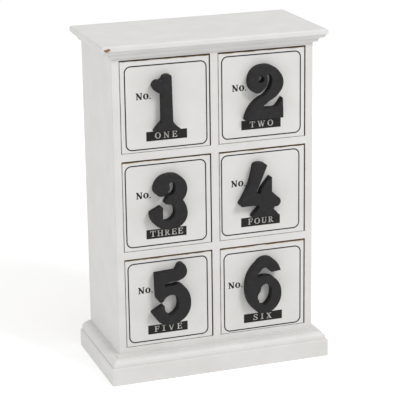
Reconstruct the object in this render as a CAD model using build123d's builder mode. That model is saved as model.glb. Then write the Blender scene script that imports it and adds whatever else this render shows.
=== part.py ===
"""A small painted table-top chest with six inset drawers, each pulled by a cut-out numeral.

Frame: millimetres, +Z up, +X to the right, the drawers face -Y.
The origin is on the ground under the middle of the whole chest.
"""
from build123d import *

import os
from math import hypot, sqrt

# ---------------------------------------------------------------- driving sizes, in mm
board = 9.0                  # sides, shelves, divider, carcass top and bottom
bay_width = 106.5            # clear opening of one drawer
bay_height = 106.5
body_depth = 122.0           # front edge of the sides to the back of the chest
floor_height = 38.0          # ground to the floor of the lowest bays
board_arris = 1.0            # rounding of the outer front edges of the sides

back_thickness = 3.0         # back panel, let into rebates of the sides
back_rebate = 4.5            # width of the rebate
back_lift = 2.0              # the back panel stays clear of the ground

top_thickness = 10.5         # moulded top board
top_overhang = 13.5
nosing = 6.0                 # height of the rounded nosing
nosing_round = 2.2
nosing_step = 1.8            # set-back under the nosing
nosing_foot = 4.7            # set-back at the lower face of the top board
nosing_swell = 0.9           # bulge of the curve between them
cornice_height = 5.0         # cove strip under the top board
cornice_depth = 8.4
cornice_fillet = 1.0         # small square foot of the cove

plinth_height = 31.0         # moulded skirting round the base
plinth_face = 21.0           # height of its plain vertical face
plinth_side_depth = 13.5
plinth_front_depth = 18.5
plinth_arris = 1.2
plinth_quirk = 2.2           # set-back of the quirk above the face
plinth_quirk_height = 0.8
plinth_ovolo = 6.8           # how far the ovolo runs inwards
plinth_fillet = 0.8          # small square step above the ovolo
plinth_fillet_height = 1.0

block_leg = 14.0             # corner glue blocks behind the skirting
block_gap = 1.0              # air under a glue block

pin_radius = 0.6             # pins that hold the back panel
pin_head_radius = 1.2
pin_head_height = 0.6
pin_length = 12.0
pins_per_side = 5
pin_end_distance = 25.0
pin_clearance = 0.05
pin_sides = 8                # the pins are too small to need more

front_thickness = 9.0        # drawer front
front_arris = 0.6
left_gap = 0.6               # the drawers sit a little to the left in their bays
right_gap = 1.4
foot_gap = 0.3
head_gap = 1.7
rear_gap = 1.5
box_side = 6.0               # drawer sides and back
box_height = 96.0
box_bottom = 3.0
bottom_rise = 4.0            # underside of the drawer bottom above the drawer's foot
groove_depth = 3.0
lap = 4.0                    # part of the front that covers the ends of the sides

numeral_scale = 1.0          # the numerals below are drawn full size
knob_thickness = 10.0

screw_radius = 1.5           # countersunk screws from inside the drawer
screw_head_radius = 3.0
screw_length = 15.0
screw_hole_clearance = 0.2
pilot_clearance = 0.05
screw_sides = 12

names = [["one", "two"], ["three", "four"], ["five", "six"]]     # the drawers, from the top

rightward, forward, upward = (1, 0, 0), (0, -1, 0), (0, 0, 1)

# ---------------------------------------------------------------- derived places
rows = len(names)
columns = len(names[0])
body_width = columns * bay_width + (columns + 1) * board
half_width = body_width / 2
front_y = -(body_depth - plinth_front_depth) / 2
back_y = front_y + body_depth
inner_back_y = back_y - back_thickness
bays_height = rows * bay_height + (rows - 1) * board
carcass_top = floor_height + bays_height + board
overall_height = carcass_top + top_thickness
inner_half = half_width - board
drawer_rear_y = inner_back_y - rear_gap
screw_head_height = screw_head_radius - screw_radius
cove_middle = sqrt(0.5)      # share of a quarter curve's width reached at its middle


def bay_left(column):
    """X of a bay's left wall."""
    return -inner_half + column * (bay_width + board)


def bay_floor(row):
    """Z of a bay's floor, where row 0 is the highest."""
    return floor_height + (rows - 1 - row) * (bay_height + board)


def finish(piece, name):
    """Label a finished piece and write it."""
    piece.part.label = name
    export_step(piece.part, f"parts/{name}.step")


def panel(x_span, y_span, z_span, mode=Mode.ADD):
    """A plain rectangular board, or a cut of that shape, in the part being made."""
    (x0, x1), (y0, y1), (z0, z1) = x_span, y_span, z_span
    with BuildSketch(Plane.XY.offset(z0)) as base:
        with Locations(((x0 + x1) / 2, (y0 + y1) / 2)):
            Rectangle(x1 - x0, y1 - y0)
    extrude(base.sketch, amount=z1 - z0, mode=mode)


def arc_about(centre, start, end):
    """Middle and end of the short arc about a centre."""
    x = start[0] + end[0] - 2 * centre[0]
    y = start[1] + end[1] - 2 * centre[1]
    radius = hypot(start[0] - centre[0], start[1] - centre[1])
    length = hypot(x, y)
    return [(centre[0] + x / length * radius, centre[1] + y / length * radius), end]


def outline(start, *runs, mode=Mode.ADD):
    """Fill a closed outline in the sketch being made.

    A run of one point is straight, and a run of two is an arc's middle and end.
    """
    with BuildLine() as path:
        here = start
        for run in runs:
            if len(run) == 1:
                Line(here, run[0])
            else:
                ThreePointArc(here, run[0], run[1])
            here = run[-1]
    make_face(path.edges(), mode=mode)


os.makedirs("parts", exist_ok=True)

# ---------------------------------------------------------------- carcass
side_span = (half_width - board, half_width)
pin_heights = [
    pin_end_distance + step * (carcass_top - 2 * pin_end_distance) / (pins_per_side - 1)
    for step in range(pins_per_side)
]
pin_x = inner_half + back_rebate / 2
pin_places = [(side * pin_x, height) for side in (-1, 1) for height in pin_heights]
pin_depth = pin_length - back_thickness

for name, side in (("side_left", -1), ("side_right", 1)):
    with BuildPart() as carcass_side:
        x_span = sorted(side * x for x in side_span)
        panel(x_span, (front_y, back_y), (0, carcass_top))
        rebate_x = sorted(side * x for x in (inner_half, inner_half + back_rebate))
        panel(rebate_x, (inner_back_y, back_y), (0, carcass_top), mode=Mode.SUBTRACT)
        outer_corner = carcass_side.edges().filter_by(Axis.Z).group_by(Axis.Y)[0].sort_by(Axis.X)
        fillet(outer_corner[0 if side < 0 else -1], board_arris)
        with BuildSketch(Plane.XZ.offset(-inner_back_y)):
            with Locations(*[place for place in pin_places if place[0] * side > 0]):
                RegularPolygon(pin_radius + pin_clearance, pin_sides, major_radius=False)
        extrude(amount=pin_depth, mode=Mode.SUBTRACT)
    finish(carcass_side, name)

inner_span = (-inner_half, inner_half)
shelf_depth = (front_y, inner_back_y)
with BuildPart() as bottom_board:
    panel(inner_span, shelf_depth, (floor_height - board, floor_height))
finish(bottom_board, "bottom_board")

with BuildPart() as top_panel:
    panel(inner_span, shelf_depth, (carcass_top - board, carcass_top))
finish(top_panel, "top_panel")

# The divider and the shelves are halved together, so each runs through in one piece.
half_depth_y = (front_y + inner_back_y) / 2
divider_span = (-board / 2, board / 2)
shelf_tops = [bay_floor(row) for row in range(rows - 1)]
with BuildPart() as centre_divider:
    panel(divider_span, shelf_depth, (floor_height, carcass_top - board))
    for top in shelf_tops:
        panel(divider_span, (half_depth_y, inner_back_y), (top - board, top), mode=Mode.SUBTRACT)
finish(centre_divider, "centre_divider")

for name, top in zip(("shelf_upper", "shelf_lower"), shelf_tops):
    with BuildPart() as shelf:
        panel(inner_span, shelf_depth, (top - board, top))
        panel(divider_span, (front_y, half_depth_y), (top - board, top), mode=Mode.SUBTRACT)
    finish(shelf, name)

back_half = inner_half + back_rebate
with BuildPart() as back_panel:
    panel((-back_half, back_half), (inner_back_y, back_y), (back_lift, carcass_top))
    with BuildSketch(Plane.XZ.offset(-inner_back_y)):
        with Locations(*pin_places):
            RegularPolygon(pin_radius + pin_clearance, pin_sides, major_radius=False)
    extrude(amount=-back_thickness, mode=Mode.SUBTRACT)
    with BuildSketch(Plane.XZ.offset(-back_y)):
        with Locations(*pin_places):
            RegularPolygon(pin_head_radius + pin_clearance, pin_sides, major_radius=False)
    extrude(amount=pin_head_height, mode=Mode.SUBTRACT)
finish(back_panel, "back_panel")

with BuildPart() as back_pins:
    with BuildSketch(Plane.XZ.offset(-back_y)):
        with Locations(*pin_places):
            RegularPolygon(pin_head_radius, pin_sides, major_radius=False)
    extrude(amount=pin_head_height)
    with BuildSketch(Plane.XZ.offset(-back_y)):
        with Locations(*pin_places):
            RegularPolygon(pin_radius, pin_sides, major_radius=False)
    extrude(amount=pin_length)
finish(back_pins, "back_pins")


# ---------------------------------------------------------------- moulded top
def from_front(out, up):
    """A point of a section at the front, on the YZ plane."""
    return (front_y - out, up)


def from_side(out, up):
    """A point of a section at the right side, on the XZ plane."""
    return (half_width + out, up)


def top_section(place, inner):
    """The top board's section: a rounded nosing, a small step and a swell back to its lower face."""
    nose = top_overhang
    upper = (nose - nosing_round, overall_height)
    over = (nose, overall_height - nosing_round)
    under = (nose, overall_height - nosing)
    step = (nose - nosing_step, under[1])
    foot = (nose - nosing_foot, carcass_top)
    swell = ((step[0] + foot[0] + nosing_swell) / 2, (step[1] + foot[1] - nosing_swell) / 2)
    rounding = arc_about((upper[0], over[1]), upper, over)
    runs = [[upper], rounding, [under], [step], [swell, foot], [(inner, carcass_top)], [(inner, overall_height)]]
    outline(place(inner, overall_height), *[[place(*point) for point in run] for run in runs])


with BuildPart() as top_board:
    with BuildSketch(Plane.YZ):
        top_section(from_front, -body_depth)
    extrude(amount=half_width + top_overhang, dir=rightward)
    with BuildSketch(Plane.XZ.offset(-back_y)):
        top_section(from_side, -half_width)
    extrude(amount=body_depth + top_overhang, dir=forward, mode=Mode.INTERSECT)
    mirror(about=Plane.YZ)
finish(top_board, "top_board")


# ---------------------------------------------------------------- cornice and skirting
def cornice_section(place, depth):
    """The cove strip under the top board, from its upper face round to its foot."""
    foot = carcass_top - cornice_height
    lip = (depth, carcass_top)
    toe = (depth - cornice_height + cornice_fillet, foot + cornice_fillet)
    hollow = (lip[0] - cove_middle * (lip[0] - toe[0]), toe[1] + cove_middle * (lip[1] - toe[1]))
    runs = [[lip], [hollow, toe], [(toe[0], foot)], [(0, foot)], [(0, carcass_top)]]
    outline(place(0, carcass_top), *[[place(*point) for point in run] for run in runs])


def plinth_section(place, depth):
    """The moulded skirting: plain face, quirk, ovolo and a small step up to the flat top."""
    quirk = depth - plinth_quirk
    ledge = quirk - plinth_ovolo
    step = ledge - plinth_fillet
    face = plinth_face
    foot = face + plinth_quirk_height
    crown = plinth_height - plinth_fillet_height
    arris = arc_about((depth - plinth_arris, face - plinth_arris),
                      (depth, face - plinth_arris), (depth - plinth_arris, face))
    swell = (ledge + cove_middle * plinth_ovolo, foot + cove_middle * (crown - foot))
    runs = [[(depth, 0)], [(depth, face - plinth_arris)], arris, [(quirk, face)], [(quirk, foot)],
            [swell, (ledge, crown)], [(step, crown)], [(step, plinth_height)], [(0, plinth_height)],
            [(0, 0)]]
    outline(place(0, 0), *[[place(*point) for point in run] for run in runs])


def run_in_front(section, side_depth, front_depth):
    """A moulding across the front, mitred at its ends to meet the side mouldings."""
    outer_x = half_width + side_depth
    outer_y = front_y - front_depth
    right = [(outer_x, outer_y), (half_width, outer_y + side_depth), (half_width, back_y)]
    left = [(-x, y) for x, y in reversed(right)]
    with BuildSketch(Plane.YZ) as profile:
        section(from_front, front_depth)
    extrude(profile.sketch, amount=outer_x, both=True)
    with BuildSketch() as plan:
        with BuildLine():
            Polyline(*right, *left, close=True)
        make_face()
    extrude(plan.sketch, amount=overall_height, dir=upward, mode=Mode.INTERSECT)


def run_at_right(section, side_depth, front_depth):
    """A moulding along the right side, from its mitre at the front to the back of the chest."""
    outer_x = half_width + side_depth
    outer_y = front_y - front_depth
    with BuildSketch(Plane.XZ.offset(-back_y)) as profile:
        section(from_side, side_depth)
    extrude(profile.sketch, amount=body_depth + front_depth, dir=forward)
    with BuildSketch() as plan:
        with BuildLine():
            Polyline((outer_x, outer_y), (outer_x, back_y), (half_width, back_y),
                     (half_width, outer_y + side_depth), close=True)
        make_face()
    extrude(plan.sketch, amount=overall_height, dir=upward, mode=Mode.INTERSECT)


mouldings = {
    "cornice": (cornice_section, cornice_depth, cornice_depth),
    "plinth": (plinth_section, plinth_side_depth, plinth_front_depth),
}
for name, moulding in mouldings.items():
    with BuildPart() as front_moulding:
        run_in_front(*moulding)
    finish(front_moulding, f"{name}_front")
    with BuildPart() as right_moulding:
        run_at_right(*moulding)
    finish(right_moulding, f"{name}_right")
    with BuildPart() as left_moulding:
        mirror(right_moulding.part, about=Plane.YZ)
    finish(left_moulding, f"{name}_left")

rear_rail_y = inner_back_y - board
with BuildPart() as plinth_back:
    panel(inner_span, (rear_rail_y, inner_back_y), (0, floor_height - board))
finish(plinth_back, "plinth_back")

with BuildPart() as glue_blocks:
    for x, inward_x in ((-inner_half, 1), (inner_half, -1)):
        for y, inward_y in ((front_y, 1), (rear_rail_y, -1)):
            with BuildSketch(Plane.XY.offset(block_gap)):
                with BuildLine():
                    Polyline((x, y), (x + inward_x * block_leg, y), (x, y + inward_y * block_leg), close=True)
                make_face()
            extrude(amount=floor_height - board - block_gap, dir=upward)
finish(glue_blocks, "glue_blocks")

# ---------------------------------------------------------------- the six numerals
# Each outline is drawn about the middle of its drawer: right and up, in mm, as straight runs and arcs.
eye_radius = 3.8             # the round eye of the two
eye = (-4.2, 20.9)
outlines = {
    "one": [
        (-6.4, -17.3), [(-6.4, 15.1)], [(-12.8, 17.4), (-16.3, 22.1)], [(-15.5, 27.5), (-10.5, 30)],
        [(-6.6, 30.5), (-4.6, 33.7)], [(-0.1, 35.7), (4.8, 34.7)], [(5.1, 31.5)], [(6, -17.8)],
        [(9.5, -22.2), (14.3, -26.3)], [(14.3, -28.1)], [(-15.8, -28.1)], [(-15.2, -26.5)],
        [(-11, -21.9), (-6.4, -17.3)],
    ],
    "two": [
        (-23, -25.4), [(-16.3, -9.6), (-1.5, 1.6)], [(6.1, 9.4), (9.1, 18.9)],
        [(8.5, 22.9), (5.5, 26.4)], [(3.8, 26.2), (2.9, 24.8)], [(3.5, 17.4), (-2, 7.9)],
        [(-8.4, 5.1), (-14.1, 7.5)], [(-18.2, 13.4), (-18.8, 19.6)], [(-14.4, 31.3), (-2, 37)],
        [(10.1, 35.3), (18.6, 27.5)], [(22.7, 18), (20.1, 7.1)], [(12.9, -0.6), (6.5, -4.2)],
        [(-0.9, -9.3)], [(-0.9, -12.7)], [(11.4, -12.9)], [(14.7, -11.7), (16.3, -9.9)],
        [(22.1, -2.3)], [(22.7, -25.4)], [(-23, -25.4)],
    ],
    "three": [
        (-17.8, 20.5), [(-12.6, 31.6), (-1.5, 36.4)], [(11.9, 34.3), (19.6, 25.9)],
        [(20.8, 15.4), (15.6, 5.6)], [(19.1, -0.6), (21.1, -8.3)], [(17.2, -21), (3.5, -27.5)],
        [(-10.2, -26.2), (-19.8, -18.5)], [(-22.5, -11.9), (-22.7, -6.4)], [(-11.2, -0.6)],
        [(-8.6, -1.1), (-8.3, -3.9)], [(-8.3, -14)], [(-7.3, -17), (-4.8, -18)],
        [(3.1, -15.3), (6.2, -7.9)], [(4.9, -1.9), (0.1, 1.6)], [(-4.2, 2.1)],
        [(-5.4, 3.3), (-5.2, 4.9)], [(-2.9, 9.9)], [(-2.1, 11.3), (-0.5, 11.9)],
        [(4.8, 14.4), (7, 20.1)], [(6.8, 23.3)], [(3.7, 27.3), (-0.4, 25.4)],
        [(-0.1, 19), (-3.2, 14.2)], [(-9.9, 11.6), (-15.6, 14.6)], [(-17.5, 17.3), (-17.8, 20.5)],
    ],
    "four": [
        (-13.6, 33.8), [(-12.4, 37.2), (-8.5, 38.6)], [(-3.5, 38.6), (0.9, 36.8)], [(2.4, 35.5), (2.1, 33.4)],
        [(-11, 2.9)], [(-5.1, 1.9)], [(-3.8, 7.3), (-0.4, 12)], [(6.6, 20.3)], [(7.9, 20.9), (8.6, 19.3)],
        [(8.6, 3.3)], [(15.8, -3.7)], [(19.3, -9.8), (15.1, -14.9)], [(12.1, -15.1)], [(10.4, -17.4)],
        [(18.2, -25.9)], [(-15.4, -25.9)], [(-15, -23)], [(-7.1, -15.1)], [(-7.1, -11.6)],
        [(-26.8, -11.5)], [(-29.9, -10.2), (-30.1, -6.9)], [(-19.1, 13.8), (-13.6, 33.8)],
    ],
    "five": [
        (-18.6, 35.7), [(5.2, 37.1)], [(6.9, 38.5), (8, 41.2)], [(13, 44.9), (17.9, 40.4)],
        [(19.1, 33.9), (14.9, 27.4)], [(9.9, 25.2), (3.6, 24.7)], [(-8, 23.3)], [(-7.8, 19.3)],
        [(3.4, 19.4)], [(10.9, 20.1), (15.7, 17.1)], [(22.3, 6), (23.4, -3.6)], [(19.7, -16.8), (8.4, -25.8)],
        [(-4.2, -27.6), (-15.3, -23.6)], [(-22.1, -14)], [(-22.9, -12.2), (-21.5, -10.1)],
        [(-11.2, -4)], [(-9.3, -3.7), (-8.5, -5.7)], [(-6.6, -12.6), (-1.5, -16.7)],
        [(7, -9.7), (8, 0.9)], [(6.2, 6), (0.8, 8.4)], [(-4.9, 7.2), (-9.2, 3)],
        [(-12, 0.5), (-15.4, 2.2)], [(-17.2, 5), (-17.8, 8.6)], [(-18.6, 35.7)],
    ],
    "six": [
        (-23.5, 1.2), [(-20.1, 20), (-9.5, 33.5)], [(1.4, 39.2), (10.9, 35.9)], [(16.4, 29.2), (19.2, 21.9)],
        [(7.5, 20.8)], [(5.9, 22.3)], [(-0.1, 27.2), (-4.9, 24.4)], [(-9.6, 20)], [(-9.6, 15.5)],
        [(0.3, 16.9), (9.5, 14.6)], [(16.9, 7.1), (20, -4)], [(17.8, -16.8), (8.7, -27)],
        [(-0.5, -29.2), (-9.3, -27.5)], [(-19.8, -14.9), (-23.5, 1.2)],
    ],
}
counters = {
    "two": [
        (eye[0] - eye_radius, eye[1]),
        [(eye[0], eye[1] + eye_radius), (eye[0] + eye_radius, eye[1])],
        [(eye[0], eye[1] - eye_radius), (eye[0] - eye_radius, eye[1])],
    ],
    "six": [
        (1.1, 7.1), [(6, 3.7), (7.7, -4)], [(5.4, -13.7), (-0.3, -19.6)], [(-5.7, -17.9), (-8.1, -12.7)],
        [(-9.6, -8.4), (-7.5, -3.6)], [(-5.9, -0.9)], [(-4.1, 4.6), (1.1, 7.1)],
    ],
}
screw_places = {
    "one": [(-0.5, 20), (-0.5, -20)],
    "two": [(2, 31.2), (0, -19.4)],
    "three": [(0.5, 31.4), (3.5, -22.2)],
    "four": [(-7, 28.6), (1.5, -20.4)],
    "five": [(-1.5, 30.2), (1.5, -21.6)],
    "six": [(3.5, 31.6), (-0.5, -24.4)],
}

# ---------------------------------------------------------------- drawers
box_inner_front = front_y + front_thickness
box_rear_inner = drawer_rear_y - box_side
knob_grip = screw_length - front_thickness


def make_drawer(name, left, foot):
    """One drawer with its numeral, where its front's lower left corner is at (left, foot)."""
    right = left + bay_width - left_gap - right_gap
    head = foot + bay_height - foot_gap - head_gap
    rim = foot + box_height
    middle = ((left + right) / 2, front_y, (foot + head) / 2)
    face = Plane(middle, x_dir=rightward, z_dir=forward)
    rear_face = face.offset(-front_thickness)
    places = [(x * numeral_scale, y * numeral_scale) for x, y in screw_places[name]]
    bottom_z = (foot + bottom_rise, foot + bottom_rise + box_bottom)
    bottom_x = (left + box_side - groove_depth, right - box_side + groove_depth)
    bottom_y = (box_inner_front - groove_depth, box_rear_inner + groove_depth)
    bottom_spans = (bottom_x, bottom_y, bottom_z)
    side_x = {"left": (left, left + box_side), "right": (right - box_side, right)}
    side_y = (front_y + lap, drawer_rear_y)

    with BuildPart() as front:
        panel((left, right), (front_y, box_inner_front), (foot, head))
        chamfer(front.faces().sort_by(Axis.Y)[0].edges(), front_arris)
        for span in side_x.values():
            panel(span, side_y, (foot, rim), mode=Mode.SUBTRACT)
        panel(*bottom_spans, mode=Mode.SUBTRACT)
        with BuildSketch(rear_face):
            with Locations(*places):
                RegularPolygon(screw_radius + screw_hole_clearance, screw_sides, major_radius=False)
        extrude(amount=front_thickness, mode=Mode.SUBTRACT)
        with BuildSketch(rear_face):
            with Locations(*places):
                RegularPolygon(screw_head_radius, screw_sides, major_radius=False)
        extrude(amount=screw_head_height, taper=45, mode=Mode.SUBTRACT)
    finish(front, f"drawer_{name}_front")

    for hand, span in side_x.items():
        with BuildPart() as box_wall:
            panel(span, side_y, (foot, rim))
            panel(*bottom_spans, mode=Mode.SUBTRACT)
        finish(box_wall, f"drawer_{name}_{hand}")

    with BuildPart() as box_back:
        panel((left + box_side, right - box_side), (box_rear_inner, drawer_rear_y), (foot, rim))
        panel(*bottom_spans, mode=Mode.SUBTRACT)
    finish(box_back, f"drawer_{name}_back")

    with BuildPart() as bottom:
        panel(*bottom_spans)
    finish(bottom, f"drawer_{name}_bottom")

    with BuildPart() as numeral:
        with BuildSketch(face):
            outline(*outlines[name])
            if name in counters:
                outline(*counters[name], mode=Mode.SUBTRACT)
            scale(by=numeral_scale)
        extrude(amount=knob_thickness, dir=forward)
        with BuildSketch(face):
            with Locations(*places):
                RegularPolygon(screw_radius + pilot_clearance, screw_sides, major_radius=False)
        extrude(amount=knob_grip + screw_hole_clearance, mode=Mode.SUBTRACT)
    finish(numeral, f"drawer_{name}_numeral")

    with BuildPart() as screws:
        with BuildSketch(rear_face):
            with Locations(*places):
                RegularPolygon(screw_head_radius, screw_sides, major_radius=False)
        extrude(amount=screw_head_height, taper=45)
        with BuildSketch(rear_face):
            with Locations(*places):
                RegularPolygon(screw_radius, screw_sides, major_radius=False)
        extrude(amount=screw_length)
    finish(screws, f"drawer_{name}_screws")


for row, row_names in enumerate(names):
    for column, name in enumerate(row_names):
        make_drawer(name, bay_left(column) + left_gap, bay_floor(row) + foot_gap)
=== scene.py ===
"""The look of a small painted chest of six drawers with numerals for knobs.

Metres, +Z up, +X to the right, the drawers face -Y.
"""
import math

import bmesh
import bpy
from mathutils import Matrix, Vector


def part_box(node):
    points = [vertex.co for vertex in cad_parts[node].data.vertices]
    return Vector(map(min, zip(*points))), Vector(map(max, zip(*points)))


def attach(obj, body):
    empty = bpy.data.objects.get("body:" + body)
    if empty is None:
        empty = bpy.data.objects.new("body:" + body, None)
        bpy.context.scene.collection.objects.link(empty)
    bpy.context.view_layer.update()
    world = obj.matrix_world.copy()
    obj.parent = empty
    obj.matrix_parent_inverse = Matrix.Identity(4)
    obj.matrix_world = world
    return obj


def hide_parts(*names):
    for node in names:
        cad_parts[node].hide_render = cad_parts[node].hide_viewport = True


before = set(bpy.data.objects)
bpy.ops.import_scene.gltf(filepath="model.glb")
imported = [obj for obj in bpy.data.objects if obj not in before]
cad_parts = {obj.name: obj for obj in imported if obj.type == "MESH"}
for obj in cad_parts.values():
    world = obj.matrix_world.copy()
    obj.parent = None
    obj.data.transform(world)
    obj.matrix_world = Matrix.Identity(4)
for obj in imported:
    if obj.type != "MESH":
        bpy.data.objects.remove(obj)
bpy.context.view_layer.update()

mm = 0.001

# ------------------------------------------------------------------ sizes of what is added
drawer_names = ["one", "two", "three", "four", "five", "six"]
print_height = 0.05 * mm      # how far a printed layer stands on the paint
line_square = 96.9 * mm       # the printed line round each drawer front: its outside,
line_corner = 7.6 * mm        # the radius of its corners
line_width = 1.4 * mm         # and its width
bar_width = 48.2 * mm         # the black bar that holds the number's word
bar_height = 10.9 * mm
bar_corner = 0.25 * mm
word_height = 6.9 * mm
word_rise = 0.4 * mm          # the word sits this far above the middle of its bar
short_word_height = 7.6 * mm
short_word_gap = 0.6 * mm
short_word_weight = 1.5       # its strokes are this much heavier than the other word's
small_capital = 0.86          # height of its second letter, as a share of the first
letter_stretch = 1.22         # the letters are a little wide
stroke_step = 0.0015 * mm     # each stroke of a letter lies this much above the last
numeral_easing = 0.5 * mm     # rounding of the numerals' front edges
# Each drawer's print sits a little differently. In mm from the middle of the drawer front: the
# middle of the line, the lower left corner of the short word and the middle of the bar. Then,
# along the bar, the word's shift and its width.
prints = {
    "one": ((1.0, -1.4), (-34.2, 8.1), (1.0, -34.95), -0.9, 26.4),
    "two": ((-0.5, 0.5), (-36.1, 7.5), (-1.05, -33.1), 0.45, 29.1),
    "three": ((-1.2, 0.1), (-36.8, 9.0), (-1.6, -34.35), 0.0, 39.4),
    "four": ((-2.0, 1.0), (-38.0, 10.7), (-2.1, -33.45), 0.25, 31.7),
    "five": ((-1.0, 0.0), (-37.2, 11.0), (-2.25, -34.7), 0.45, 33.6),
    "six": ((-0.1, -2.0), (-42.7, 3.0), (0.45, -36.9), -0.75, 23.4),
}

front_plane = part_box("side_left")[0].y      # front of the case and of the closed drawers


# ------------------------------------------------------------------ colours and nodes
def colour(code):
    """A linear colour from an sRGB hex value."""
    parts = [int(code[i:i + 2], 16) / 255 for i in (1, 3, 5)]
    linear = [c / 12.92 if c <= 0.04045 else ((c + 0.055) / 1.055) ** 2.4 for c in parts]
    return (*linear, 1.0)


def add(material, kind, inputs=None, **settings):
    """Add one node with its settings, values and links."""
    tree = material.node_tree
    node = tree.nodes.new(kind)
    for name, value in settings.items():
        setattr(node, name, value)
    for key, value in (inputs or {}).items():
        socket = node.inputs[key]
        if isinstance(value, bpy.types.NodeSocket):
            tree.links.new(value, socket)
        else:
            socket.default_value = value
    return node


def new_material(name):
    """An empty node material, its surface shader and its object coordinates."""
    material = bpy.data.materials.new(name)
    material.use_nodes = True
    material.node_tree.nodes.clear()
    shader = add(material, "ShaderNodeBsdfPrincipled")
    add(material, "ShaderNodeOutputMaterial", {"Surface": shader.outputs[0]})
    place = add(material, "ShaderNodeTexCoord").outputs["Object"]
    return material, shader, place


def noise(material, place, size, detail=3.0, roughness=0.5):
    """Grey cloud whose blotches are about that many metres across."""
    node = add(material, "ShaderNodeTexNoise", {"Vector": place, "Scale": 1 / size,
                                                "Detail": detail, "Roughness": roughness})
    return node.outputs["Fac"]


def number(material, operation, first, second=0.0, third=0.0):
    """One sum on values."""
    node = add(material, "ShaderNodeMath", {0: first, 1: second, 2: third}, operation=operation)
    return node.outputs[0]


def remap(material, value, low, high, to_low=0.0, to_high=1.0):
    """A value stretched from one range to another, and held inside it."""
    node = add(material, "ShaderNodeMapRange", {"Value": value, "From Min": low, "From Max": high,
                                                "To Min": to_low, "To Max": to_high})
    return node.outputs[0]


def blend_colour(material, share, first, second):
    """A colour that goes from first to second."""
    node = add(material, "ShaderNodeMix", {0: share, 6: first, 7: second}, data_type="RGBA")
    return node.outputs[2]


def axes(material, place):
    """The three coordinates of a place, by the names X, Y and Z."""
    return add(material, "ShaderNodeSeparateXYZ", {0: place}).outputs


def link(material, output, socket):
    """Join an output to a socket of a node that is already there."""
    material.node_tree.links.new(output, socket)


def bump(material, shader, height, depth, strength):
    """Fine relief, given by a grey height and its depth in metres."""
    node = add(material, "ShaderNodeBump", {"Height": height, "Distance": depth,
                                            "Strength": strength})
    link(material, node.outputs[0], shader.inputs["Normal"])


# ------------------------------------------------------------------ materials
# Satin water-based paint rolled on fibreboard: an even warm white with a fine roller stipple.
paint_light, paint_shade = colour("#dfdedc"), colour("#dad9d6")
# Raw medium-density fibreboard: fine brown felt of fibres, with no grain, darker on sawn edges.
board_light, board_shade, board_fleck = colour("#998360"), colour("#8d7755"), colour("#6c5839")
torn_board = colour("#8f6c54")    # where a corner has been knocked off: redder and darker
# Matt black paint on sawn board, with a slight tooth.
black_base, black_worn = colour("#2a292a"), colour("#3b393a")
# Screen-printed ink, black for lines, bars and short words, pale for the words on the bars.
ink_dark, ink_dark_thin = colour("#161514"), colour("#2b2928")
ink_pale, ink_pale_thin = colour("#c6c3be"), colour("#999690")
# Bright zinc on the steel screws and pins: cool grey.
zinc_dull, zinc_bright = colour("#9a9b9e"), colour("#c3c4c6")


def paint_colour(material, place):
    """White paint, a little greyer in wide soft patches."""
    cloud = noise(material, place, 30 * mm, detail=4)
    return blend_colour(material, remap(material, cloud, 0.35, 0.65), paint_shade, paint_light)


def board_colour(material, place):
    """Brown fibreboard with soft patches and dark flecks."""
    felt = noise(material, place, 1.2 * mm, detail=4, roughness=0.7)
    patch = noise(material, place, 18 * mm, detail=2)
    base = blend_colour(material, remap(material, patch, 0.35, 0.65), board_shade, board_light)
    return blend_colour(material, remap(material, felt, 0.56, 0.68), base, board_fleck)


def painted_faces(material, place, directions, creep):
    """1 where paint covers a board: on the faces that look in the given directions, and as far as
    the paint has crept round the front edge."""
    normal = add(material, "ShaderNodeTexCoord").outputs["Normal"]
    covered = 0.0
    for direction in directions:
        facing = add(material, "ShaderNodeVectorMath", {0: normal, 1: direction},
                     operation="DOT_PRODUCT").outputs["Value"]
        covered = number(material, "MAXIMUM", covered, remap(material, facing, 0.45, 0.6))
    ragged = noise(material, place, 5 * mm, detail=4, roughness=0.6)
    reach = number(material, "MULTIPLY", remap(material, ragged, 0.3, 0.7), creep)
    depth = number(material, "SUBTRACT", axes(material, place)["Y"], front_plane)
    crept = remap(material, number(material, "SUBTRACT", reach, depth), -0.1 * mm, 0.25 * mm)
    return number(material, "MAXIMUM", covered, crept)


def rubbed_edge(material, place, distance, pitch, widest):
    """1 on a ragged line where paint is rubbed off, along edges that repeat every pitch."""
    away = number(material, "MODULO", distance, pitch)
    ragged = noise(material, place, 14 * mm, detail=4)
    width = remap(material, ragged, 0.38, 0.62, 0.1 * mm, widest)
    return remap(material, number(material, "SUBTRACT", width, away), -0.05 * mm, 0.15 * mm)


def rubbed_fronts(material, place, left, top, column_pitch, row_pitch):
    """1 where the drawer fronts are rubbed: along the upper edges, and a little along the left
    ones. Two edges and two pitches place the fronts."""
    below = number(material, "SUBTRACT", top, axes(material, place)["Z"])
    beside = number(material, "SUBTRACT", axes(material, place)["X"], left)
    upper = rubbed_edge(material, place, below, row_pitch, 0.75 * mm)
    side = rubbed_edge(material, place, beside, column_pitch, 0.4 * mm)
    return number(material, "MAXIMUM", upper, side)


def broken_corner(material, place, middle, radii):
    """1 in a torn patch round a point, which reaches about as far as its radii."""
    ragged = 2.4                  # how far the torn edge wanders from them
    rim = 1 + ragged / 2
    shrink = tuple(1 / radius for radius in radii)
    away = add(material, "ShaderNodeVectorMath", {0: place, 1: middle}, operation="SUBTRACT")
    away = add(material, "ShaderNodeVectorMath", {0: away.outputs[0], 1: shrink},
               operation="MULTIPLY")
    away = add(material, "ShaderNodeVectorMath", {0: away.outputs[0]}, operation="LENGTH")
    torn = noise(material, place, 2.2 * mm, detail=4, roughness=0.6)
    spread = number(material, "MULTIPLY_ADD", torn, ragged, away.outputs["Value"])
    return remap(material, spread, rim + 0.04, rim - 0.04)


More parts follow.
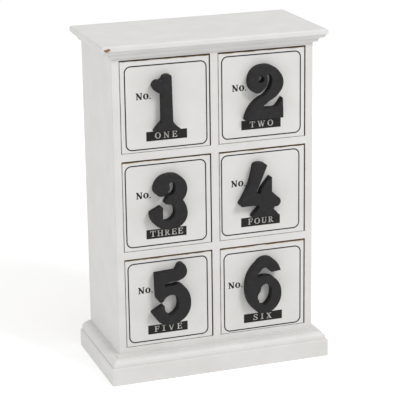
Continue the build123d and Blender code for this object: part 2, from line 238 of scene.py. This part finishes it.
def painted_board(name, directions=None, creep=0.9 * mm, fronts=None, chip=None):
    """Paint on the faces that look in the given directions, bare board on the others.

    With no directions the whole piece is painted. Fronts says where drawer fronts are rubbed
    through, and chip where a corner is broken off.
    """
    material, shader, place = new_material(name)
    white = paint_colour(material, place)
    stipple = noise(material, place, 0.9 * mm, detail=2)
    shader.inputs["IOR"].default_value = 1.48
    if directions is None and chip is None:
        link(material, white, shader.inputs["Base Color"])
        shader.inputs["Roughness"].default_value = 0.5
        bump(material, shader, stipple, 0.05 * mm, 0.5)
        return material
    bare = 0.0
    if directions is not None:
        covered = painted_faces(material, place, directions, creep)
        bare = number(material, "SUBTRACT", 1.0, covered)
    if fronts is not None:
        bare = number(material, "MAXIMUM", bare, rubbed_fronts(material, place, *fronts))
    if chip is not None:
        bare = number(material, "MAXIMUM", bare, broken_corner(material, place, *chip))
    under = board_colour(material, place) if chip is None else torn_board
    fibres = noise(material, place, 0.35 * mm, detail=3)
    relief = add(material, "ShaderNodeMix", {0: bare, 2: stipple, 3: fibres})
    link(material, blend_colour(material, bare, white, under), shader.inputs["Base Color"])
    link(material, number(material, "MULTIPLY_ADD", bare, 0.35, 0.5), shader.inputs["Roughness"])
    bump(material, shader, relief.outputs[0], 0.06 * mm, 0.5)
    return material


def bare_board(name):
    """Unpainted fibreboard: matt, with a felt of short fibres."""
    material, shader, place = new_material(name)
    link(material, board_colour(material, place), shader.inputs["Base Color"])
    shader.inputs["Roughness"].default_value = 0.85
    bump(material, shader, noise(material, place, 0.4 * mm, detail=3), 0.08 * mm, 0.6)
    return material


def matt_black():
    """Matt black paint on sawn board: nearly even, with a fine tooth, specks and rubbed places."""
    material, shader, place = new_material("matt_black_paint")
    rub = remap(material, noise(material, place, 9 * mm, detail=5, roughness=0.65), 0.5, 0.75)
    speck = remap(material, noise(material, place, 1.1 * mm, detail=3, roughness=0.6), 0.45, 0.7)
    worn = number(material, "MULTIPLY_ADD", speck, 0.6, number(material, "MULTIPLY", rub, 0.4))
    sheen = remap(material, noise(material, place, 3 * mm), 0.3, 0.7, 0.55, 0.72)
    link(material, blend_colour(material, worn, black_base, black_worn),
         shader.inputs["Base Color"])
    link(material, sheen, shader.inputs["Roughness"])
    shader.inputs["Specular IOR Level"].default_value = 0.12
    bump(material, shader, noise(material, place, 0.5 * mm, detail=3), 0.06 * mm, 0.6)
    return material


def printed_ink(name, full, thin):
    """Screen-printed ink: flat, a little thinner here and there."""
    material, shader, place = new_material(name)
    wear = remap(material, noise(material, place, 1.4 * mm, detail=4, roughness=0.7), 0.58, 0.72)
    link(material, blend_colour(material, wear, full, thin), shader.inputs["Base Color"])
    shader.inputs["Roughness"].default_value = 0.55
    shader.inputs["Specular IOR Level"].default_value = 0.25
    return material


def zinc():
    """Bright zinc on steel: a cool grey metal with faint swirls."""
    material, shader, place = new_material("zinc_plated_steel")
    swirl = noise(material, place, 1.2 * mm, detail=2)
    link(material, blend_colour(material, swirl, zinc_dull, zinc_bright),
         shader.inputs["Base Color"])
    shader.inputs["Metallic"].default_value = 1.0
    link(material, remap(material, swirl, 0.3, 0.7, 0.28, 0.4), shader.inputs["Roughness"])
    return material


forward, leftward, rightward = (0, -1, 0), (-1, 0, 0), (1, 0, 0)
top_low, top_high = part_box("top_board")
chip_place = (top_low.x + 6.0 * mm, top_low.y, top_high.z - 4.2 * mm)
chip_radii = (3.4 * mm, 4 * mm, 1.5 * mm)
all_paint = painted_board("satin_paint")
top_paint = painted_board("satin_paint_chipped", chip=(chip_place, chip_radii))
edge_paint = painted_board("satin_paint_on_front_edge", [forward])
left_paint = painted_board("satin_paint_on_left_side", [forward, leftward])
right_paint = painted_board("satin_paint_on_right_side", [forward, rightward])
# The first drawer front's left and upper edges, and the distance to the next column and row.
(low_one, high_one), (low_two, _), (_, high_three) = (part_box(f"drawer_{name}_front")
                                                      for name in drawer_names[:3])
drawer_fronts = (low_one.x, high_one.z, low_two.x - low_one.x, high_one.z - high_three.z)
drawer_paint = painted_board("satin_paint_on_drawer_front", [forward], creep=0.5 * mm,
                             fronts=drawer_fronts)
raw = bare_board("raw_fibreboard")
black = matt_black()
dark_ink = printed_ink("black_print", ink_dark, ink_dark_thin)
pale_ink = printed_ink("pale_print", ink_pale, ink_pale_thin)
metal = zinc()

case_finishes = {
    "side_left": left_paint, "side_right": right_paint, "bottom_board": edge_paint,
    "top_panel": edge_paint, "centre_divider": edge_paint, "shelf_upper": edge_paint,
    "shelf_lower": edge_paint, "back_panel": raw, "back_pins": metal, "top_board": top_paint,
    "cornice_front": all_paint, "cornice_left": all_paint, "cornice_right": all_paint,
    "plinth_front": all_paint, "plinth_left": all_paint, "plinth_right": all_paint,
    "plinth_back": raw, "glue_blocks": raw,
}
drawer_finishes = {"front": drawer_paint, "left": raw, "right": raw, "back": raw, "bottom": raw,
                   "numeral": black, "screws": metal}


def dress(node, material):
    """Give a carried-over piece its finish."""
    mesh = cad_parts[node].data
    mesh.materials.clear()
    mesh.materials.append(material)


for node_name, finish in case_finishes.items():
    dress(node_name, finish)
for name in drawer_names:
    for piece, finish in drawer_finishes.items():
        dress(f"drawer_{name}_{piece}", finish)


# ------------------------------------------------------------------ making pieces
def finish_piece(bm, name, material, body, smooth_angle=None):
    """Turn a finished mesh into a piece that rides on its body."""
    bmesh.ops.recalc_face_normals(bm, faces=bm.faces)
    mesh = bpy.data.meshes.new(name)
    bm.to_mesh(mesh)
    bm.free()
    mesh.materials.append(material)
    if smooth_angle is not None:
        mesh.shade_smooth()
        mesh.set_sharp_from_angle(angle=math.radians(smooth_angle))
    piece = bpy.data.objects.new(name, mesh)
    bpy.context.scene.collection.objects.link(piece)
    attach(piece, body)
    return piece


def stand_up(bm, place, height):
    """Thicken a flat drawing and stand it up with its (0, 0) at a place, facing the front."""
    made = bmesh.ops.extrude_face_region(bm, geom=bm.faces[:])
    raised = [v for v in made["geom"] if isinstance(v, bmesh.types.BMVert)]
    bmesh.ops.translate(bm, verts=raised, vec=(0, 0, height))
    turn = Matrix.Translation(place) @ Matrix.Rotation(math.radians(90), 4, "X")
    bmesh.ops.transform(bm, matrix=turn, verts=bm.verts)


def rounded_rectangle(bm, width, height, radius, segments=8):
    """One flat face with rounded corners, about (0, 0)."""
    made = bmesh.ops.create_grid(bm, x_segments=1, y_segments=1, size=0.5)
    bmesh.ops.scale(bm, vec=(width, height, 1), verts=made["verts"])
    bmesh.ops.bevel(bm, geom=made["verts"], offset=radius, segments=segments, profile=0.5,
                    affect="VERTICES", material=-1)


def border(name, middle, material):
    """The printed line round a drawer front."""
    bm = bmesh.new()
    rounded_rectangle(bm, line_square, line_square, line_corner)
    panel = bm.faces[:]
    bmesh.ops.inset_region(bm, faces=panel, thickness=line_width, use_boundary=True,
                           use_even_offset=True)
    bmesh.ops.delete(bm, geom=panel, context="FACES")
    stand_up(bm, middle, print_height)
    return finish_piece(bm, f"printed_line_{name}", material, f"drawer_{name}")


def word_bar(name, middle, material):
    """The black bar under a numeral."""
    bm = bmesh.new()
    rounded_rectangle(bm, bar_width, bar_height, bar_corner, segments=3)
    stand_up(bm, middle, print_height)
    return finish_piece(bm, f"word_bar_{name}", material, f"drawer_{name}")


# ------------------------------------------------------------------ letters
# Plain capitals with serifs, drawn in a box one unit high. A stroke is (from, to, its width). A bow
# is (middle, outer radii, thickness at the side, thickness at top and foot, from, to in degrees). A
# dot is (middle, radius). Each letter is its width and its strokes.
stem, hair, serif, tip = 0.16, 0.08, 0.07, 0.08


def foot(x, y, half=0.19):
    """A serif across the end of a stroke."""
    return ("stroke", (x - half, y), (x + half, y), serif)


def upright(x, width=stem, low=0.0, high=1.0):
    """An upright stroke."""
    return ("stroke", (x, low), (x, high), width)


def arm(x, end, y, width=hair):
    """A level stroke."""
    return ("stroke", (x, y), (end, y), width)


letters = {
    "I": (0.52, [upright(0.26), foot(0.26, 0.04, 0.24), foot(0.26, 0.96, 0.24)]),
    "N": (0.82, [upright(0.15, hair), upright(0.67, hair),
                 ("stroke", (0.12, 0.97), (0.66, 0.03), stem), foot(0.15, 0.04, 0.14),
                 foot(0.12, 0.96, 0.13), foot(0.67, 0.96, 0.14)]),
    "E": (0.72, [upright(0.19), arm(0.02, 0.66, 0.96), arm(0.02, 0.69, 0.04),
                 arm(0.2, 0.5, 0.52), upright(0.64, tip, 0.72), upright(0.67, tip, 0.0, 0.3),
                 upright(0.5, tip, 0.4, 0.64)]),
    "F": (0.70, [upright(0.19), foot(0.21, 0.04, 0.2), arm(0.02, 0.69, 0.95, 0.11),
                 arm(0.2, 0.52, 0.5, 0.11), upright(0.65, tip, 0.66),
                 upright(0.52, tip, 0.38, 0.64)]),
    "T": (0.82, [upright(0.41), foot(0.41, 0.04), arm(0.02, 0.80, 0.96), upright(0.06, tip, 0.7),
                 upright(0.76, tip, 0.7)]),
    "H": (0.87, [upright(0.19), upright(0.68), arm(0.19, 0.68, 0.5), foot(0.19, 0.04),
                 foot(0.19, 0.96), foot(0.68, 0.04), foot(0.68, 0.96)]),
    "U": (0.78, [upright(0.18, stem, 0.3), upright(0.64, hair, 0.3), foot(0.18, 0.96, 0.18),
                 foot(0.64, 0.96, 0.14),
                 ("bow", (0.385, 0.32), (0.30, 0.34), 0.13, 0.1, 180, 360)]),
    "V": (0.90, [("stroke", (0.17, 0.96), (0.47, 0.0), stem),
                 ("stroke", (0.75, 0.96), (0.47, 0.02), hair),
                 foot(0.17, 0.96, 0.17), foot(0.75, 0.96, 0.14)]),
    "W": (1.10, [("stroke", (0.13, 0.96), (0.36, 0.0), stem),
                 ("stroke", (0.55, 0.9), (0.36, 0.02), hair),
                 ("stroke", (0.53, 0.96), (0.76, 0.0), stem),
                 ("stroke", (0.97, 0.96), (0.76, 0.02), hair),
                 foot(0.13, 0.96, 0.14), foot(0.54, 0.96, 0.12), foot(0.97, 0.96, 0.13)]),
    "X": (0.80, [("stroke", (0.15, 0.96), (0.64, 0.04), stem),
                 ("stroke", (0.62, 0.96), (0.16, 0.04), hair), foot(0.15, 0.96, 0.15),
                 foot(0.63, 0.96, 0.14), foot(0.16, 0.04, 0.14), foot(0.64, 0.04, 0.15)]),
    "R": (0.80, [upright(0.19), foot(0.19, 0.04),
                 ("bow", (0.34, 0.74), (0.28, 0.26), 0.16, hair, -90, 90),
                 arm(0.02, 0.36, 0.96), arm(0.17, 0.36, 0.52),
                 ("stroke", (0.38, 0.5), (0.64, 0.04), stem), foot(0.68, 0.04, 0.11)]),
    "O": (0.86, [("bow", (0.43, 0.5), (0.42, 0.52), 0.19, hair, 0, 360)]),
    "S": (0.73, [("bow", (0.365, 0.745), (0.305, 0.265), 0.15, hair, 20, 225),
                 ("bow", (0.355, 0.265), (0.315, 0.275), 0.15, hair, -160, 45),
                 ("stroke", (0.18, 0.62), (0.55, 0.4), 0.18), upright(0.62, tip, 0.7),
                 upright(0.07, tip, 0.0, 0.3)]),
    ".": (0.24, [("dot", (0.11, 0.1), 0.11)]),
}


def draw_stroke(bm, weight, start, end, width):
    """One straight stroke, as a flat face."""
    start, end = Vector((*start, 0)), Vector((*end, 0))
    run = end - start
    made = bmesh.ops.create_grid(bm, x_segments=1, y_segments=1, size=0.5)["verts"]
    bmesh.ops.scale(bm, vec=(run.length, width * weight, 1), verts=made)
    turn = Matrix.Rotation(math.atan2(run.y, run.x), 4, "Z")
    bmesh.ops.transform(bm, matrix=Matrix.Translation((start + end) / 2) @ turn, verts=made)
    return made


def draw_bow(bm, weight, middle, radii, side, thin, start, end, steps=24):
    """One curved stroke, thicker at its sides than at its top and foot. A full turn is closed."""
    closed = end - start == 360
    rows = []
    for inset in (0, weight):
        row = []
        for step in range(steps if closed else steps + 1):
            angle = math.radians(start + (end - start) * step / steps)
            x = middle[0] + (radii[0] - inset * side) * math.cos(angle)
            y = middle[1] + (radii[1] - inset * thin) * math.sin(angle)
            row.append(bm.verts.new((x, y, 0)))
        rows.append(row)
    edges = []
    for row in rows:
        following = row[1:] + row[:1] if closed else row[1:]
        edges += [bm.edges.new(pair) for pair in zip(row, following)]
    bmesh.ops.bridge_loops(bm, edges=edges)
    return [v for row in rows for v in row]


def draw_dot(bm, weight, middle, radius):
    """A full stop, as a flat disc."""
    made = bmesh.ops.create_circle(bm, cap_ends=True, segments=16, radius=radius)["verts"]
    bmesh.ops.translate(bm, vec=(*middle, 0), verts=made)
    return made


drawing = {"stroke": draw_stroke, "bow": draw_bow, "dot": draw_dot}


def draw_letter(bm, letter, corner, height, weight):
    """One letter with its foot at a corner. No two strokes lie at one level, so none coincide."""
    width, strokes = letters[letter]
    stretch = Matrix.Diagonal((height * letter_stretch, height, 1, 1))
    for count, (kind, *shape) in enumerate(strokes):
        made = drawing[kind](bm, weight, *shape)
        place = Matrix.Translation((*corner, count * stroke_step))
        bmesh.ops.transform(bm, matrix=place @ stretch, verts=made)
    return width * height * letter_stretch


def print_word(bm, text, corner, heights, gap, weight):
    """A row of letters on one foot line."""
    x, y = corner
    for letter, height in zip(text, heights):
        x += draw_letter(bm, letter, (x, y), height, weight) + gap


def number_word(name, middle, width, material):
    """The number's name on its black bar, in pale capitals spread over a given width."""
    text = name.upper()
    bm = bmesh.new()
    filled = sum(letters[letter][0] * word_height * letter_stretch for letter in text)
    gap = (width - filled) / (len(text) - 1)
    print_word(bm, text, (-width / 2, -word_height / 2), [word_height] * len(text), gap, 1.0)
    stand_up(bm, middle + Vector((0, -print_height, 0)), print_height)
    return finish_piece(bm, f"word_{name}", material, f"drawer_{name}")


def short_word(name, start, material):
    """The short word before the numeral, in heavier capitals, from its lower left corner."""
    bm = bmesh.new()
    heights = [short_word_height] + 2 * [short_word_height * small_capital]
    print_word(bm, "NO.", (0, 0), heights, short_word_gap, short_word_weight)
    stand_up(bm, start, print_height)
    return finish_piece(bm, f"short_word_{name}", material, f"drawer_{name}")


# ------------------------------------------------------------------ numerals
def eased_numeral(name, material):
    """The numeral with its front edges rubbed round, in place of the sharp one."""
    node = f"drawer_{name}_numeral"
    bm = bmesh.new()
    bm.from_mesh(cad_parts[node].data)
    # The carried-over mesh is loose triangles, so they are joined to whole faces first.
    bmesh.ops.remove_doubles(bm, verts=bm.verts, dist=0.002 * mm)
    bmesh.ops.dissolve_limit(bm, angle_limit=math.radians(1), verts=bm.verts, edges=bm.edges)
    face_y = min(v.co.y for v in bm.verts)
    rim = [e for e in bm.edges if all(abs(v.co.y - face_y) < 0.01 * mm for v in e.verts)]
    bmesh.ops.bevel(bm, geom=rim, offset=numeral_easing, segments=3, profile=0.5, affect="EDGES",
                    clamp_overlap=True, material=-1)
    piece = finish_piece(bm, f"numeral_{name}", material, f"drawer_{name}",
                         smooth_angle=35)
    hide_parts(node)
    return piece


for name in drawer_names:
    low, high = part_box(f"drawer_{name}_front")
    middle = Vector(((low.x + high.x) / 2, low.y, (low.z + high.z) / 2))
    *places, word_shift, word_width = prints[name]
    line_middle, short_start, bar_middle = (middle + Vector((x, 0, z)) * mm for x, z in places)
    word_middle = bar_middle + Vector((word_shift * mm, 0, word_rise))
    border(name, line_middle, dark_ink)
    word_bar(name, bar_middle, dark_ink)
    number_word(name, word_middle, word_width * mm, pale_ink)
    short_word(name, short_start, dark_ink)
    eased_numeral(name, black)


# ------------------------------------------------------------------ stage, light and camera
floor_reach = 3.0                 # from the middle of the floor to its edges
floor_grey = (0.9, 0.9, 0.9, 1)
floor_lift = 0.35                 # glow of the floor, seen by the camera and in gloss alone
surround_strength = 0.655         # the surround as the surfaces see it; the camera sees 1
lamp_target = (0, 0, 0.2)
lamps = [                         # name, place, side in metres, watts
    ("key_lamp", (1.6, -2.7, 2.9), 1.1, 66),
    ("side_lamp", (-2.2, 0.35, 0.9), 1.4, 8),
]


def stage_floor():
    """A pale floor that is white to the camera and keeps the chest's shadow."""
    bm = bmesh.new()
    bmesh.ops.create_grid(bm, x_segments=1, y_segments=1, size=floor_reach)
    mesh = bpy.data.meshes.new("floor")
    bm.to_mesh(mesh)
    bm.free()
    floor = bpy.data.objects.new("floor", mesh)
    bpy.context.scene.collection.objects.link(floor)
    material, shader, _ = new_material("pale_floor")
    shader.inputs["Base Color"].default_value = floor_grey
    shader.inputs["Roughness"].default_value = 0.9
    shader.inputs["Specular IOR Level"].default_value = 0.0
    shader.inputs["Emission Color"].default_value = (1, 1, 1, 1)
    path = add(material, "ShaderNodeLightPath")
    seen = number(material, "MAXIMUM", path.outputs["Is Camera Ray"],
                  path.outputs["Is Glossy Ray"])
    link(material, number(material, "MULTIPLY", seen, floor_lift),
         shader.inputs["Emission Strength"])
    mesh.materials.append(material)


def white_world():
    """An even white surround, whiter to the camera than to the surfaces."""
    world = bpy.data.worlds.new("surround")
    bpy.context.scene.world = world
    world.use_nodes = True
    world.node_tree.nodes.clear()
    path = add(world, "ShaderNodeLightPath")
    seen = number(world, "MAXIMUM", path.outputs["Is Camera Ray"], path.outputs["Is Glossy Ray"])
    seen = number(world, "MAXIMUM", seen, path.outputs["Is Transmission Ray"])
    strength = remap(world, seen, 0.0, 1.0, surround_strength, 1.0)
    back = add(world, "ShaderNodeBackground", {"Color": (1, 1, 1, 1), "Strength": strength})
    add(world, "ShaderNodeOutputWorld", {"Surface": back.outputs[0]})


def soft_lamp(name, place, side, power):
    """A large square lamp that looks at the chest."""
    data = bpy.data.lights.new(name, "AREA")
    data.shape = "SQUARE"
    data.size = side
    data.energy = power
    lamp = bpy.data.objects.new(name, data)
    lamp.location = place
    gaze = Vector(lamp_target) - Vector(place)
    lamp.rotation_euler = gaze.to_track_quat("-Z", "Y").to_euler()
    bpy.context.scene.collection.objects.link(lamp)


white_world()
stage_floor()
for lamp in lamps:
    soft_lamp(*lamp)

# The camera looks from the left and a little above, from nearly two metres away.
picture_width = 400                # in pixels, and the focal length in the same pixels
focal_pixels = 1691.38
azimuth, elevation, roll = (math.radians(angle) for angle in (18.928, 16.695, -0.844))
aim = Vector((-18.845 * mm, front_plane, 205.963 * mm))
distance = 1934.28 * mm
look = Vector((math.sin(azimuth) * math.cos(elevation),
               math.cos(azimuth) * math.cos(elevation), -math.sin(elevation)))
level = Vector((math.cos(azimuth), -math.sin(azimuth), 0))
down = look.cross(level)
across = math.cos(roll) * level - math.sin(roll) * down
below = math.sin(roll) * level + math.cos(roll) * down
camera_data = bpy.data.cameras.new("camera")
camera_data.sensor_width = 36
camera_data.lens = focal_pixels * camera_data.sensor_width / picture_width
camera = bpy.data.objects.new("camera", camera_data)
turn = Matrix((across, -below, -look)).transposed()
camera.matrix_world = Matrix.Translation(aim - look * distance) @ turn.to_4x4()
bpy.context.scene.collection.objects.link(camera)
bpy.context.scene.camera = camera
bpy.context.scene.view_settings.view_transform = "Standard"
